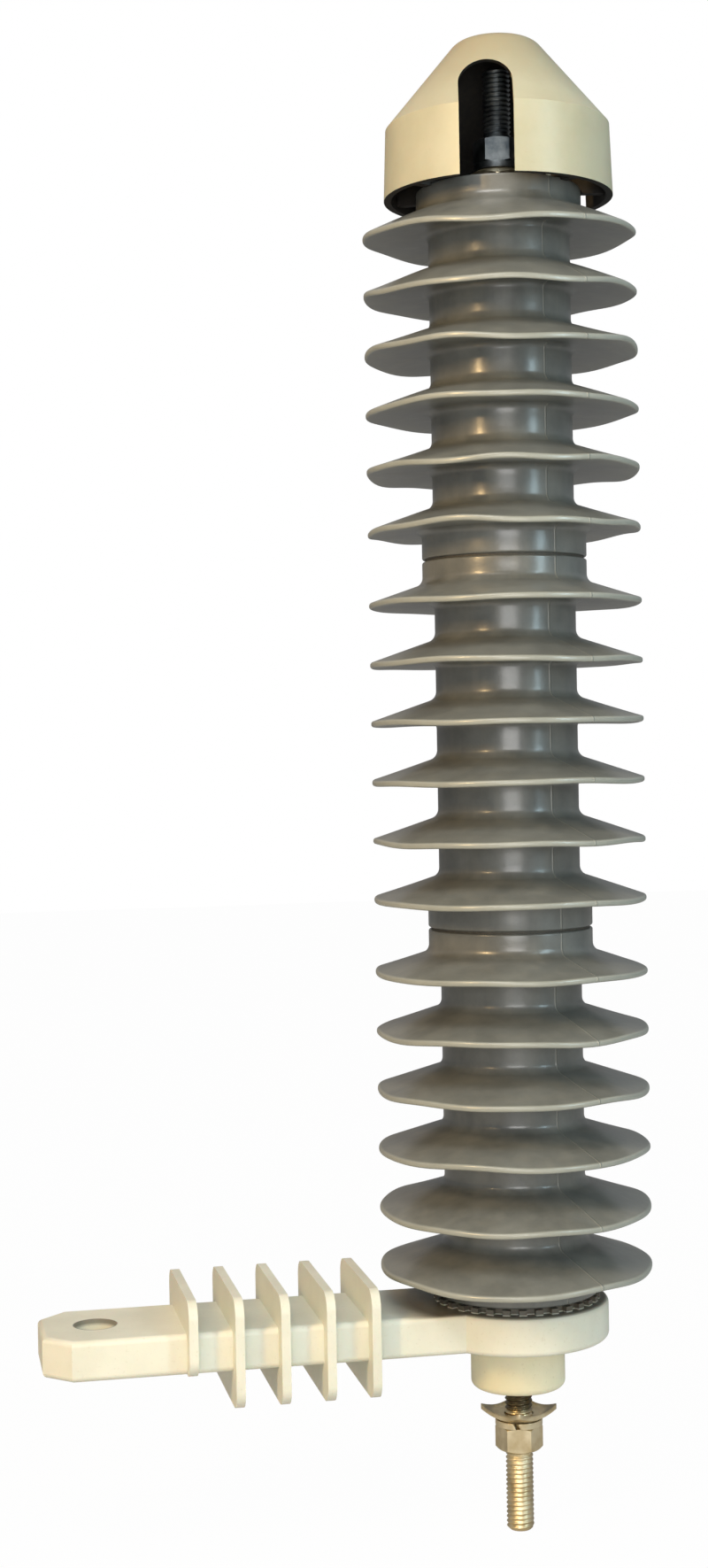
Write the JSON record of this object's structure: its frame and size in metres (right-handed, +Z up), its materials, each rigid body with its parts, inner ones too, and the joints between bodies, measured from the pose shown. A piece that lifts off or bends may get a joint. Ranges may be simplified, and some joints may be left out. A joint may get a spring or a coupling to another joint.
{
  "type": "distribution surge arrester",
  "caption": "Distribution surge arrester: grey shedded polymer housings on an insulating bracket, with ground lead disconnector, wire clamps and slotted wildlife cap.",
  "frame": {"origin": "centre of the bracket's bolt hole, on the underside that rests on the crossarm hardware", "axes": "+Z up along the arrester's axis, +X from the bolt hole to the arrester's axis, +Y across the bracket"},
  "size_m": [0.2114, 0.094, 0.5135],
  "materials": {
    "housing_rubber": "satin grey silicone rubber",
    "gasket_rubber": "dark sealing compound",
    "fibreglass_sleeve": "wound glass fibre in resin",
    "terminal_aluminium": "turned",
    "contact_aluminium": "rolled sheet",
    "varistor_ceramic": "dense dark grey ceramic",
    "spring_steel": "spring steel",
    "cap_plastic": "cream moulded plastic",
    "bracket_plastic": "cream moulded polyester",
    "disconnector_plastic": "cream moulded polyester",
    "resistor_body": "dark carbon compound",
    "cartridge_brass": "drawn brass",
    "zinc_steel": "zinc plated"
  },
  "bodies": {
    "root": {"base_gasket": "gasket_rubber", "coupling_stud_1": "zinc_steel", "coupling_stud_2": "zinc_steel", "disconnector_cartridge": "cartridge_brass", "disconnector_cup": "disconnector_plastic", "disconnector_upper_stud": "zinc_steel", "grading_resistor": "resistor_body", "ground_lock_washer": "zinc_steel", "ground_nut": "zinc_steel", "ground_stud": "zinc_steel", "ground_wire_clamp": "zinc_steel", "joint_gasket_1": "gasket_rubber", "joint_gasket_2": "gasket_rubber", "line_flat_washer": "zinc_steel", "line_lock_washer": "zinc_steel", "line_nut": "zinc_steel", "line_terminal_stud": "zinc_steel", "line_wire_clamp": "zinc_steel", "lower_bottom_terminal": "terminal_aluminium", "lower_contact_disc_1": "contact_aluminium", "lower_contact_disc_2": "contact_aluminium", "lower_contact_disc_3": "contact_aluminium", "lower_contact_disc_4": "contact_aluminium", "lower_disc_spring": "spring_steel", "lower_housing": "housing_rubber", "lower_sleeve": "fibreglass_sleeve", "lower_top_terminal": "terminal_aluminium", "lower_varistor_1": "varistor_ceramic", "lower_varistor_2": "varistor_ceramic", "lower_varistor_3": "varistor_ceramic", "middle_bottom_terminal": "terminal_aluminium", "middle_contact_disc_1": "contact_aluminium", "middle_contact_disc_2": "contact_aluminium", "middle_contact_disc_3": "contact_aluminium", "middle_contact_disc_4": "contact_aluminium", "middle_disc_spring": "spring_steel", "middle_housing": "housing_rubber", "middle_sleeve": "fibreglass_sleeve", "middle_top_terminal": "terminal_aluminium", "middle_varistor_1": "varistor_ceramic", "middle_varistor_2": "varistor_ceramic", "middle_varistor_3": "varistor_ceramic", "mounting_bracket": "bracket_plastic", "upper_bottom_terminal": "terminal_aluminium", "upper_contact_disc_1": "contact_aluminium", "upper_contact_disc_2": "contact_aluminium", "upper_contact_disc_3": "contact_aluminium", "upper_contact_disc_4": "contact_aluminium", "upper_disc_spring": "spring_steel", "upper_housing": "housing_rubber", "upper_sleeve": "fibreglass_sleeve", "upper_top_terminal": "terminal_aluminium", "upper_varistor_1": "varistor_ceramic", "upper_varistor_2": "varistor_ceramic", "upper_varistor_3": "varistor_ceramic", "wildlife_cap": "cap_plastic"}
  },
  "joints": []
}
